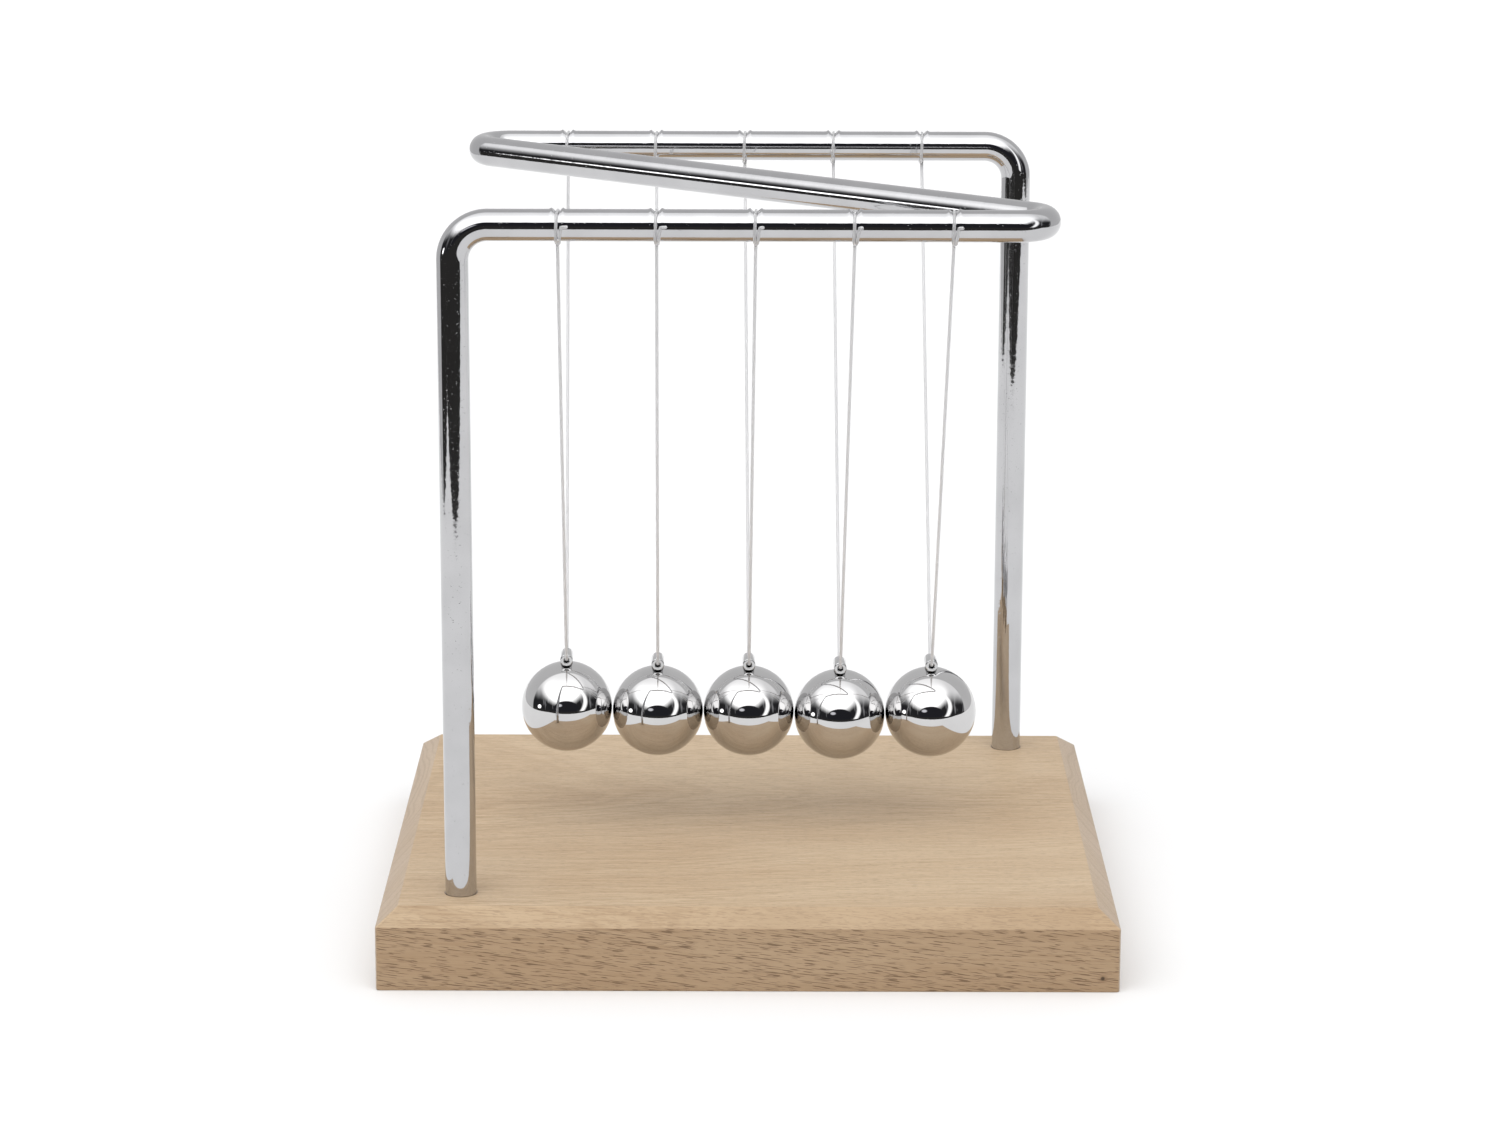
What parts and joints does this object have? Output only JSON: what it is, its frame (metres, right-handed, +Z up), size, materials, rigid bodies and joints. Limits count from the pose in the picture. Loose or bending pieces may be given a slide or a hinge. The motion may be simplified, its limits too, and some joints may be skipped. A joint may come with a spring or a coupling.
{
  "type": "newtons cradle",
  "caption": "Desk Newton's cradle: a row of polished steel balls hung on V-shaped nylon lines from one bent chrome rod standing on a bevelled beech board.",
  "frame": {"origin": "middle of the board's underside, on the surface it stands on", "axes": "+X along the row of balls to the right, +Y from the front rail to the rear rail, +Z up"},
  "size_m": [0.172, 0.152, 0.1809],
  "materials": {
    "beech": "pale beech with a thin satin lacquer",
    "rod_chrome": "bright chrome plate",
    "ball_steel": "mirror polished steel",
    "tube_chrome": "bright chrome plate",
    "screw_steel": "zinc plated",
    "nylon": "clear drawn nylon"
  },
  "bodies": {
    "stand": {"base_board": "beech", "rod_frame": "rod_chrome", "front_screw": "screw_steel", "front_washer": "screw_steel", "rear_screw": "screw_steel", "rear_washer": "screw_steel", "front_knot_1": "nylon", "front_knot_2": "nylon", "front_knot_3": "nylon", "front_knot_4": "nylon", "front_knot_5": "nylon", "rear_knot_1": "nylon", "rear_knot_2": "nylon", "rear_knot_3": "nylon", "rear_knot_4": "nylon", "rear_knot_5": "nylon"},
    "pendulum_1": {"ball_1": "ball_steel", "hanger_tube_1": "tube_chrome", "line_1": "nylon"},
    "pendulum_2": {"ball_2": "ball_steel", "hanger_tube_2": "tube_chrome", "line_2": "nylon"},
    "pendulum_3": {"ball_3": "ball_steel", "hanger_tube_3": "tube_chrome", "line_3": "nylon"},
    "pendulum_4": {"ball_4": "ball_steel", "hanger_tube_4": "tube_chrome", "line_4": "nylon"},
    "pendulum_5": {"ball_5": "ball_steel", "hanger_tube_5": "tube_chrome", "line_5": "nylon"}
  },
  "joints": [
    {"name": "ball_1_swing", "type": "hinge", "parent": "stand", "child": "pendulum_1", "pos_m": [-0.0446, 0, 0.17187], "axis": [0.022, -0.9998, 0], "range_deg": [-60, 0.04]},
    {"name": "ball_2_swing", "type": "hinge", "parent": "stand", "child": "pendulum_2", "pos_m": [-0.0223, 0, 0.17187], "axis": [0.022, -0.9998, 0], "range_deg": [-0.04, 0.04]},
    {"name": "ball_3_swing", "type": "hinge", "parent": "stand", "child": "pendulum_3", "pos_m": [0, 0, 0.17187], "axis": [0.022, -0.9998, 0], "range_deg": [-0.04, 0.04]},
    {"name": "ball_4_swing", "type": "hinge", "parent": "stand", "child": "pendulum_4", "pos_m": [0.0223, 0, 0.17187], "axis": [0.022, -0.9998, 0], "range_deg": [-0.04, 0.04]},
    {"name": "ball_5_swing", "type": "hinge", "parent": "stand", "child": "pendulum_5", "pos_m": [0.0446, 0, 0.17187], "axis": [0.022, -0.9998, 0], "range_deg": [-0.04, 60]}
  ]
}
